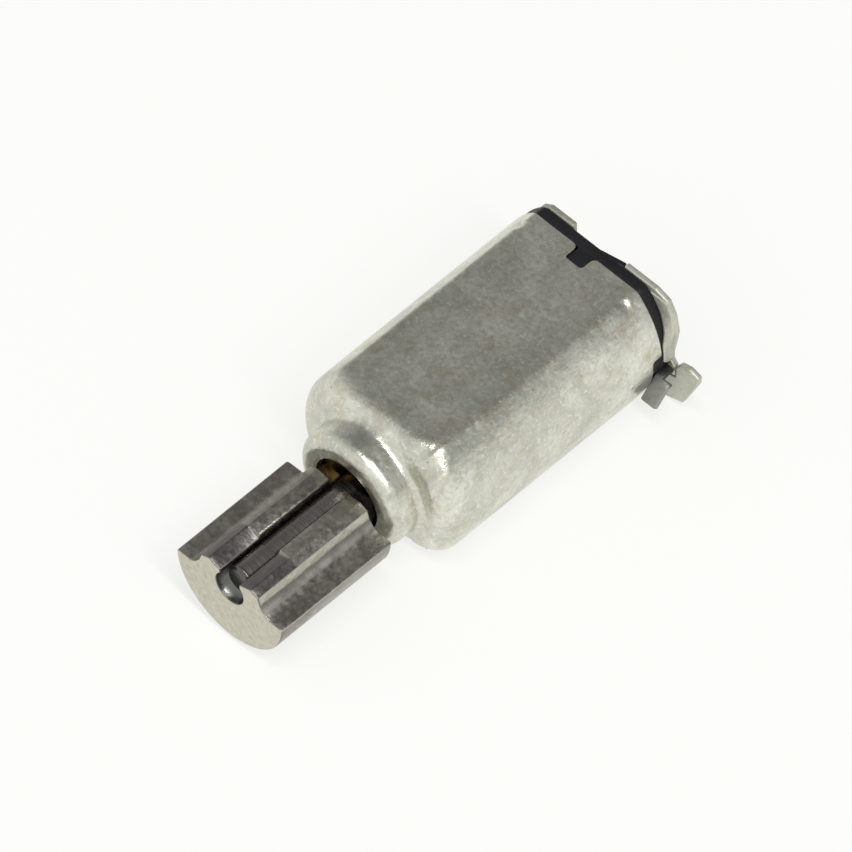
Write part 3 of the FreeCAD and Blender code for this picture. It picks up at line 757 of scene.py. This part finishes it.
def build_terminal_right():
    """Plate on the cap's right half, with a lug folded forward beside the can."""
    angle = math.degrees(math.acos(RIGHT_PLATE_TOP[1][0] / CUTOUT))
    cutout = arc(0, 0, CUTOUT, angle, -angle, 16)
    outline = RIGHT_PLATE_TOP + cutout + RIGHT_PLATE_FOOT + RIGHT_PLATE_SIDE
    shell = Shell()
    shell.prism(rounded(outline, PLATE_ROUNDING, 3), FLANGE_BACK, TERMINAL_BACK, SHEET_EDGE)
    add_side_tab(shell)
    add_folded_lug(shell)
    make_piece("terminal_plate_right", shell, HOUSING, ["terminal_right"], "terminal_metal")


def add_side_tab(shell):
    """Edge of the plate drawn forward over the flange's side, farthest in the middle."""
    side_x, side_z = zip(TAB_FOOT, *RIGHT_PLATE_SIDE[1:])
    middle = (FLANGE_BACK + TERMINAL_BACK) / 2
    rows = 32
    sections = []
    for k in range(rows + 1):
        z = TAB_HEIGHTS[0] + (TAB_HEIGHTS[-1] - TAB_HEIGHTS[0]) * k / rows
        root = math.sqrt(TAB_INNER**2 - z**2)
        face = root + TAB_THICKNESS
        outer = max(float(np.interp(z, side_z, side_x)) - TAB_SETBACK, face)
        front = float(np.interp(z, TAB_HEIGHTS, TAB_FRONTS))
        lip = front + min(TAB_THICKNESS, (FLANGE_BACK - front) / 2)
        shape = [(root, front), (face - 0.005, front), (max(outer - 0.02, face), lip)]
        shape = rounded(shape + [(outer, middle), (root, middle)], [0.0, 0.03, 0.03, 0.0, 0.0], 3)
        sections.append([(x, y, z) for x, y in shape])
    shell.loft(sections)


def add_folded_lug(shell):
    """Lug that leaves the plate through a narrow neck, runs forward and bends down."""
    path = rounded(LUG_PATH, [0, 0.12, 0.15, 0], 5)
    edge = LUG_THICKNESS * 0.2
    sections = []
    for i, (y, z) in enumerate(path):
        before, after = path[max(i - 1, 0)], path[min(i + 1, len(path) - 1)]
        along = Vector((after[0] - before[0], after[1] - before[1])).normalized()
        across = Vector((-along.y, along.x)) * LUG_THICKNESS / 2
        in_neck = y > NECK_FRONT
        sections.append(strip_section(LUG_LEFT, NECK_RIGHT if in_neck else LUG_RIGHT, y, z, across, edge))
        if in_neck and after[0] <= NECK_FRONT:
            sections.append(strip_section(LUG_LEFT, LUG_RIGHT, y, z, across, edge))
    end = sections[-1]
    middle = np.mean(end, axis=0)
    forward = Vector((path[-1][0] - path[-2][0], path[-1][1] - path[-2][1])).normalized()
    for share, step in ((0.97, 0.008), (0.88, 0.022)):
        shift = np.array([0, *(forward * step)])
        sections.append([tuple(middle + (np.array(p) - middle) * share + shift) for p in end])
    shell.loft(sections)


def strip_section(left, right, y, z, across, edge):
    """Rounded rectangular section of a bent strip."""
    half = across.length
    outline = rounded([(left, -half), (right, -half), (right, half), (left, half)], edge, 3)
    unit = across / half
    return [(x, y + unit.x * t, z + unit.y * t) for x, t in outline]


def build_terminal_left():
    """Plate on the cap's left half, with a strip along the bottom that ends in a lug on the right."""
    top_angle = math.degrees(math.acos(LEFT_PLATE[0][0] / CUTOUT))
    low_angle = math.degrees(math.atan2(STRIP_JOIN[1], STRIP_JOIN[0])) % 360
    cutout = arc(0, 0, CUTOUT, low_angle, top_angle, 18)
    outline = LEFT_PLATE + STRIP_BOTTOM + STRIP_LUG + STRIP_TOP + cutout
    shell = Shell()
    shell.prism(rounded(outline, PLATE_ROUNDING, 3), FLANGE_BACK, TERMINAL_BACK, SHEET_EDGE)
    make_piece("terminal_plate_left", shell, HOUSING, ["terminal_left"], "terminal_metal")


# ---------- materials


class Graph:
    """Shader nodes under construction."""

    def __init__(self, tree):
        self.tree = tree
        self.place = self.add("TexCoord")

    def put(self, socket, value):
        """Links a node's output to a socket, or sets the socket's own value."""
        if isinstance(value, bpy.types.NodeSocket):
            self.tree.links.new(value, socket)
        elif isinstance(value, tuple) and len(value) == 3 and socket.type == "RGBA":
            socket.default_value = (*value, 1)
        else:
            socket.default_value = value

    def add(self, kind, **inputs):
        """New node; its inputs are given by name, with _ for a space."""
        node = self.tree.nodes.new("ShaderNode" + kind)
        for name, value in inputs.items():
            self.put(node.inputs[name.replace("_", " ")], value)
        return node

    def vector(self, operation, a, b=None, scale=None):
        """Vector maths node."""
        node = self.add("VectorMath")
        node.operation = operation
        self.put(node.inputs[0], a)
        if b is not None:
            self.put(node.inputs[1], b)
        if scale is not None:
            node.inputs["Scale"].default_value = scale
        return node.outputs["Value" if operation == "DOT_PRODUCT" else "Vector"]

    def maths(self, operation, a, b=0.0, c=0.0):
        """Maths node."""
        node = self.add("Math")
        node.operation = operation
        for socket, value in zip(node.inputs, (a, b, c)):
            self.put(socket, value)
        return node.outputs[0]

    def both(self, a, b):
        """Product of two values."""
        return self.maths("MULTIPLY", a, b)

    def remap(self, value, from_low, from_high, to_low=0.0, to_high=1.0, curve="LINEAR"):
        """Value taken from one range to another and kept inside it."""
        node = self.add("MapRange", Value=value, From_Min=from_low, From_Max=from_high)
        node.inputs["To Min"].default_value = to_low
        node.inputs["To Max"].default_value = to_high
        node.interpolation_type = curve
        return node.outputs[0]

    def ramp(self, value, *stops):
        """Colour ramp through (position, colour) stops."""
        node = self.add("ValToRGB")
        elements = node.color_ramp.elements
        while len(elements) < len(stops):
            elements.new(1.0)
        for element, (position, colour) in zip(elements, stops):
            element.position = position
            element.color = (*colour, 1) if isinstance(colour, tuple) else (colour, colour, colour, 1)
        self.put(node.inputs[0], value)
        return node.outputs[0]

    def mix(self, share, a, b):
        """Mix of two colours, through the colour sockets of a Mix node."""
        factor, colour_a, colour_b, result = 0, 6, 7, 2
        node = self.add("Mix")
        node.data_type = "RGBA"
        for index, value in ((factor, share), (colour_a, a), (colour_b, b)):
            self.put(node.inputs[index], value)
        return node.outputs[result]


class Look(Graph):
    """A Principled material under construction, with texture coordinates in millimetres of the piece."""

    def __init__(self, name, metallic, roughness):
        self.material = bpy.data.materials.new(name)
        self.material.use_nodes = True
        super().__init__(self.material.node_tree)
        self.shader = self.tree.nodes["Principled BSDF"]
        self.position = self.vector("SCALE", self.place.outputs["Object"], scale=1 / MM)
        self.set("Metallic", metallic)
        self.set("Roughness", roughness)

    def set(self, name, value):
        """Sets or links one input of the Principled shader."""
        self.put(self.shader.inputs[name], value)

    def noise(self, scale, detail, roughness=0.6, stretch=(1.0, 1.0, 1.0), shift=0.0, distortion=0.0):
        """Noise of so many features to the millimetre, drawn out by stretch."""
        place = self.vector("MULTIPLY", self.position, tuple(scale / k for k in stretch))
        place = self.vector("ADD", place, (shift, shift, shift))
        node = self.add("TexNoise", Vector=place, Scale=1.0, Detail=detail, Roughness=roughness)
        node.inputs["Distortion"].default_value = distortion
        return node.outputs[0]

    def cells(self, scale):
        """Distance to the nearest of so many scattered points to the millimetre."""
        return self.add("TexVoronoi", Vector=self.position, Scale=scale).outputs["Distance"]

    def along(self, axis):
        """Place along an axis, in millimetres."""
        return self.vector("DOT_PRODUCT", self.position, axis)

    def bands(self, period):
        """Soft bands from 0 to 1 along the shaft, so many millimetres apart."""
        wave = self.maths("SINE", self.both(self.along((0, 1, 0)), 2 * math.pi / period))
        return self.maths("MULTIPLY_ADD", wave, 0.5, 0.5)

    def span(self, value, low_end, high_end):
        """Value stretched from the range 0.3 to 0.7 to the range given."""
        return self.remap(value, 0.3, 0.7, low_end, high_end)

    def bump(self, *layers):
        """Bumps laid over each other, each a (height, depth in millimetres) pair."""
        normal = None
        for height, depth in layers:
            node = self.add("Bump", Strength=1.0, Distance=depth * MM, Height=height)
            if normal is not None:
                self.put(node.inputs["Normal"], normal)
            normal = node.outputs["Normal"]
        self.set("Normal", normal)

    def below(self, axis, limit, blur):
        """1 where a coordinate is below a limit and 0 above it."""
        return self.remap(self.along(axis), limit + blur, limit - blur)

    def staked(self):
        """1 over the staked part of the weight's ears."""
        front = self.below((0, 1, 0), WEIGHT_FRONT + STAKE_LENGTH, 0.03)
        return self.both(front, self.below((0, 0, -1), -0.2, 0.05))

    def near_axis(self, inner, outer):
        """1 within one radius of the shaft's axis and 0 beyond another."""
        flat = self.vector("MULTIPLY", self.position, (1, 0, 1))
        squared = self.vector("DOT_PRODUCT", flat, self.position)
        return self.ramp(squared, (inner**2, 1.0), (outer**2, 0.0))

    def crease_shade(self):
        """Mask for painted shade: 0.8 in the corner at the foot of the weight's flanks, fading to 0 on either
        side.
        """
        across = self.vector("DOT_PRODUCT", self.vector("ABSOLUTE", self.position), (1, 0, 0))
        foot = FLANK_FOOT[0]
        return self.ramp(across, (foot - 0.02, 0.0), (foot, 0.8), (foot + 0.08, 0.0))

    def facing(self, axis, start, end):
        """1 where the surface faces a direction of the piece, 0 where it doesn't, between two cosines."""
        cosine = self.vector("DOT_PRODUCT", self.place.outputs["Normal"], axis)
        return self.remap(cosine, start, end, curve="SMOOTHSTEP")


def can_steel():
    """Satin plated steel: matt grain, faint brown and grey stains, drawing lines along the sides, and painted
    light towards the rear.
    """
    look = Look("can_steel", 1.0, 0.4)
    broad = look.noise(0.9, 5, 0.66, distortion=0.5)
    stain = look.noise(2.1, 6, 0.72, shift=11)
    grain = look.noise(9, 5, 0.7)
    fine = look.noise(30, 3, 0.6, shift=3)
    lines = look.noise(5, 4, 0.6, stretch=(1.0, 8.0, 1.0), shift=5)
    colour = look.ramp(broad, (0.34, (0.50, 0.51, 0.435)), (0.66, (0.76, 0.76, 0.665)))
    # Painted light: the can is lighter towards its rear.
    colour = look.mix(look.both(look.below((0, -1, 0), -4.9, 0.8), 0.35), colour, (0.80, 0.80, 0.72))
    colour = look.mix(look.ramp(stain, (0.50, 0.0), (0.66, 0.6)), colour, (0.50, 0.43, 0.31))
    colour = look.mix(look.ramp(grain, (0.34, 0.5), (0.54, 0.0)), colour, (0.42, 0.44, 0.40))
    bright = look.ramp(look.noise(11, 3, 0.6, shift=21), (0.56, 0.0), (0.72, 0.6))
    colour = look.mix(bright, colour, (0.92, 0.92, 0.86))
    look.set("Base Color", colour)
    look.set("Roughness", look.maths("ADD", look.span(grain, 0.27, 0.35), look.span(lines, -0.03, 0.04)))
    dimples = look.noise(6, 2, 0.5, shift=9)
    look.bump((look.noise(1.1, 2, 0.5, shift=2), 0.04), (lines, 0.010), (dimples, 0.014), (fine, 0.003))
    return look.material


def sintered_weight():
    """Sintered heavy metal, dark and mottled; painted shade darkens the staked part, the crease at the
    flanks' foot and the recess, painted highlights lighten the flanks and their slopes, and the front faces
    carry a pale painted reflection.
    """
    look = Look("sintered_weight", 1.0, 0.35)
    broad = look.noise(1.3, 5, 0.68, distortion=0.6)
    tint = look.noise(1.9, 5, 0.65, shift=7)
    grain = look.noise(8, 4, 0.6)
    dark = look.ramp(broad, (0.33, (0.20, 0.19, 0.165)), (0.66, (0.42, 0.41, 0.355)))
    dark = look.mix(look.ramp(tint, (0.50, 0.0), (0.68, 0.5)), dark, (0.29, 0.21, 0.22))
    dark = look.mix(look.ramp(grain, (0.38, 0.4), (0.60, 0.0)), dark, (0.17, 0.16, 0.15))
    # Painted shade: the staked part of the ears is darkened.
    dark = look.mix(look.both(look.staked(), 0.7), dark, (0.13, 0.115, 0.12))
    # Painted highlight: the steep flanks, facing out and slightly up, are lightened.
    dark = look.mix(look.facing((0.95, 0, 0.30), 0.97, 0.99), dark, (0.52, 0.50, 0.43))
    # Painted highlight: the slopes beside the flanks are lightened in patches.
    painted_slope_highlight = look.both(look.facing((0.80, 0, 0.59), 0.95, 0.99), look.ramp(tint, (0.40, 0.2), (0.60, 0.9)))
    dark = look.mix(painted_slope_highlight, dark, (0.50, 0.49, 0.45))
    # Painted shade in the crease at the foot of the flanks.
    dark = look.mix(look.crease_shade(), dark, (0.17, 0.165, 0.15))
    # Painted reflection: faces turned to the front get a pale copy of the tones.
    painted_front_reflection = look.ramp(grain, (0.3, (0.44, 0.415, 0.34)), (0.7, (0.63, 0.60, 0.50)))
    colour = look.mix(look.facing((0, -1, 0), 0.75, 0.95), dark, painted_front_reflection)
    # Painted shade: the recess round the shaft is darkened.
    colour = look.mix(look.near_axis(WEIGHT_RECESS + 0.005, WEIGHT_RECESS + 0.02), colour, (0.15, 0.15, 0.14))
    look.set("Base Color", colour)
    look.set("Roughness", look.span(grain, 0.24, 0.44))
    look.bump((look.noise(2.5, 2, 0.5, stretch=(1, 6, 1)), 0.02), (look.noise(6, 2, 0.5), 0.012))
    return look.material


def terminal_metal():
    """Dull plated sheet, slightly yellow and mottled; darker on its left side, with painted shade on the
    folded lug and a painted shadow at the lug's neck.
    """
    look = Look("terminal_metal", 0.6, 0.42)
    broad = look.noise(2.6, 5, 0.7)
    grain = look.noise(14, 4, 0.65)
    colour = look.ramp(broad, (0.33, (0.44, 0.44, 0.37)), (0.67, (0.60, 0.60, 0.52)))
    colour = look.mix(look.ramp(grain, (0.38, 0.4), (0.56, 0.0)), colour, (0.40, 0.39, 0.33))
    # Darker on the left side of the plates.
    colour = look.mix(look.both(look.below((1, 0, 0), -0.4, 0.1), 0.6), colour, (0.24, 0.23, 0.19))
    # Painted shade on the folded lug beside the can, in darker mottled tones.
    folded = look.both(look.below((0, 1, 0), 6.50, 0.05), look.below((0, 0, 1), -0.42, 0.05))
    colour = look.mix(folded, colour, look.ramp(broad, (0.3, (0.22, 0.22, 0.21)), (0.7, (0.34, 0.34, 0.32))))
    # Painted shadow: near black where the lug leaves the plate.
    neck = look.both(look.below((0, -1, 0), -6.2, 0.03), look.below((0, 1, 0), 6.52, 0.02))
    colour = look.mix(look.both(neck, look.below((0, 0, 1), -0.40, 0.02)), colour, (0.05, 0.05, 0.05))
    look.set("Base Color", colour)
    look.set("Roughness", look.span(grain, 0.36, 0.5))
    look.bump((broad, 0.012), (grain, 0.006))
    return look.material


def black_plastic():
    """Black moulded plastic with a faint eroded texture."""
    look = Look("black_plastic", 0.0, 0.5)
    look.set("Specular IOR Level", 0.3)
    grain = look.noise(18, 3, 0.6)
    colour = look.ramp(look.noise(2.2, 3), (0.3, (0.005, 0.005, 0.007)), (0.7, (0.010, 0.010, 0.012)))
    look.set("Base Color", colour)
    look.set("Roughness", look.span(grain, 0.42, 0.58))
    look.bump((grain, 0.003))
    return look.material


def bronze():
    """Oil-filled sintered bronze with open pores; painted shade darkens all but its left side."""
    look = Look("bronze", 1.0, 0.35)
    pores = look.ramp(look.cells(16), (0.05, 0.0), (0.25, 1.0))
    colour = look.ramp(look.noise(5, 4), (0.3, (0.50, 0.31, 0.06)), (0.7, (0.75, 0.51, 0.14)))
    # Painted shade: near black everywhere but the left side, where the gold shows as lit.
    colour = look.mix(look.below((1, 0, 0), -0.2, 0.15), (0.03, 0.022, 0.015), colour)
    look.set("Base Color", look.mix(pores, (0.16, 0.09, 0.04), colour))
    look.set("Roughness", look.span(look.noise(12, 3), 0.28, 0.45))
    look.bump((pores, 0.003))
    return look.material


def shaft_steel():
    """Ground steel with fine rings around it, and painted shade over its front end."""
    look = Look("shaft_steel", 1.0, 0.22)
    rings = look.noise(30, 3, 0.6, stretch=(12.0, 1.0, 12.0))
    colour = look.ramp(rings, (0.3, (0.20, 0.185, 0.175)), (0.7, (0.29, 0.27, 0.255)))
    # Painted shade: the shaft's front end, inside the weight's recess, is darkened.
    colour = look.mix(look.below((0, 1, 0), SHAFT_FRONT + 0.08, 0.05), colour, (0.11, 0.11, 0.10))
    look.set("Base Color", colour)
    look.set("Roughness", look.span(rings, 0.18, 0.3))
    look.bump((rings, 0.001))
    return look.material


def plain_look(name, metallic, roughness, dark, bright, scale, depth, period=None):
    """Mottled material of two tones, with bands along the shaft where a period is given."""
    look = Look(name, metallic, roughness)
    mottle = look.noise(scale, 4, 0.6)
    grain = look.noise(scale * 7, 3, 0.6, shift=4)
    colour = look.ramp(mottle, (0.3, dark), (0.7, bright))
    layers = [(grain, depth)]
    if period:
        bands = look.bands(period)
        colour = look.mix(look.ramp(bands, (0.0, 0.6), (0.3, 0.0)), colour, tuple(c * 0.4 for c in dark))
        layers.append((bands, period / 6))
    look.set("Base Color", colour)
    look.set("Roughness", look.span(grain, roughness - 0.06, roughness + 0.08))
    look.bump(*layers)
    return look.material


# Metallic, roughness, dark and bright tone, mottles to the millimetre, grain's depth and the bands' period
INNER_LOOKS = {
    "magnet": (0.8, 0.4, (0.10, 0.10, 0.11), (0.18, 0.18, 0.19), 4, 0.003),
    "brush_metal": (1.0, 0.28, (0.60, 0.44, 0.22), (0.78, 0.62, 0.38), 5, 0.001),
    "nylon": (0.0, 0.45, (0.62, 0.60, 0.50), (0.76, 0.74, 0.66), 3, 0.002),
    "lamination_steel": (1.0, 0.35, (0.24, 0.25, 0.28), (0.36, 0.37, 0.40), 5, 0.002, 0.2),
    "copper_wire": (0.9, 0.25, (0.42, 0.14, 0.05), (0.62, 0.26, 0.10), 4, 0.001),
    "commutator_copper": (1.0, 0.25, (0.60, 0.28, 0.14), (0.80, 0.44, 0.27), 6, 0.001, 0.05),
    "varistor_ceramic": (0.0, 0.5, (0.10, 0.12, 0.15), (0.2, 0.22, 0.25), 9, 0.004),
    "solder": (1.0, 0.2, (0.58, 0.58, 0.57), (0.74, 0.74, 0.72), 6, 0.003),
}


# ---------- stage, light and camera

CAMERA_AZIMUTH = 44.0
CAMERA_ELEVATION = 52.6
CAMERA_ROLL = 0.5
CAMERA_DISTANCE = 0.5
CAMERA_LENS = 1033.7
AIM = Vector((0, 1.58, 0.13)) * MM
SENSOR_WIDTH = 36.0
FLOOR_HALF = 1.5
DARK_SIDE = (0.0, 0.9, 1.0)
LIGHT_LEVELS = ((0.0, 1.0), (0.17, 0.92), (0.38, 0.75), (0.5, 0.62))
LIGHT_LEVELS += ((0.64, 0.46), (0.73, 0.37), (0.82, 0.30), (1.0, 0.28))
LIGHT_RANGE = (-0.15, 1.35)
STRIP_START = Vector((-0.05, -0.16, 0.98))
STRIP_END = Vector((0.78, -0.16, 0.60))
STRIP_DISTANCE = 0.35
STRIP_WIDTH = 0.04
STRIP_POWER = 0.85


def direction(azimuth, elevation):
    """Unit vector towards an azimuth, 0 being the front, and an elevation, in degrees."""
    a, e = math.radians(azimuth), math.radians(elevation)
    return Vector((math.sin(a) * math.cos(e), -math.cos(a) * math.cos(e), math.sin(e)))


def add_camera():
    """Long lens from above the weight's right side."""
    data = bpy.data.cameras.new("camera")
    data.lens = CAMERA_LENS
    data.sensor_width = SENSOR_WIDTH
    data.clip_start, data.clip_end = 0.01, 10.0
    camera = add_object("camera", data)
    back = direction(CAMERA_AZIMUTH, CAMERA_ELEVATION)
    right = Vector((0, 0, 1)).cross(back).normalized()
    turn = Matrix((right, back.cross(right), back)).transposed()
    roll = Matrix.Rotation(math.radians(CAMERA_ROLL), 3, back)
    camera.matrix_world = Matrix.Translation(AIM + back * CAMERA_DISTANCE) @ (roll @ turn).to_4x4()
    bpy.context.scene.camera = camera


def add_floor():
    """Pale sheet under the part that glows like a light table."""
    mesh = bpy.data.meshes.new("floor")
    corners = ((-1, -1), (1, -1), (1, 1), (-1, 1))
    mesh.from_pydata([(FLOOR_HALF * x, FLOOR_HALF * y, CAD_LOW.z) for x, y in corners], [], [(0, 1, 2, 3)])
    floor = add_object("floor", mesh)
    look = Look("floor", 0.0, 0.9)
    look.set("Base Color", (0.22, 0.22, 0.216))
    look.set("Specular IOR Level", 0.0)
    look.set("Emission Color", (1.0, 1.0, 0.975))
    look.set("Emission Strength", 0.735)
    mesh.materials.append(look.material)


def add_world():
    """White surroundings at the front and below that darken overhead and towards the rear."""
    world = bpy.data.worlds.new("studio")
    world.use_nodes = True
    graph = Graph(world.node_tree)
    height = graph.vector("DOT_PRODUCT", graph.place.outputs["Generated"], DARK_SIDE)
    stops = [(position, (level, level, level * 0.99)) for position, level in LIGHT_LEVELS]
    colour = graph.ramp(graph.remap(height, *LIGHT_RANGE), *stops)
    graph.put(graph.tree.nodes["Background"].inputs["Color"], colour)
    bpy.context.scene.world = world


def add_strip_light():
    """Long narrow light that faces the part and spans two directions."""
    across = STRIP_END - STRIP_START
    data = bpy.data.lights.new("strip", "AREA")
    data.shape = "RECTANGLE"
    data.size = across.length * STRIP_DISTANCE
    data.size_y = STRIP_WIDTH
    data.energy = STRIP_POWER
    lamp = add_object("strip", data)
    back = (STRIP_START + STRIP_END).normalized()
    along = (across - back * across.dot(back)).normalized()
    turn = Matrix((along, back.cross(along), back)).transposed()
    lamp.matrix_world = Matrix.Translation(AIM + back * STRIP_DISTANCE) @ turn.to_4x4()


# ---------- the part

LOOKS = {slot: plain_look(slot, *numbers) for slot, numbers in INNER_LOOKS.items()}
for build_look in (can_steel, sintered_weight, terminal_metal, black_plastic, bronze, shaft_steel):
    LOOKS[build_look.__name__] = build_look()
for row in frame["record"]["subparts"]:
    node = frame["nodes"][row["node"]]
    node.data.materials.clear()
    node.data.materials.append(LOOKS[row["material_slot"]])

build_can()
build_weight()
build_shaft()
build_bush("front_bush", "nose_bush")
build_bush("back_bush", "rear_bush")
build_end_cap()
build_terminal_right()
build_terminal_left()

add_floor()
add_world()
add_strip_light()
add_camera()
bpy.context.scene.view_settings.view_transform = "Standard"
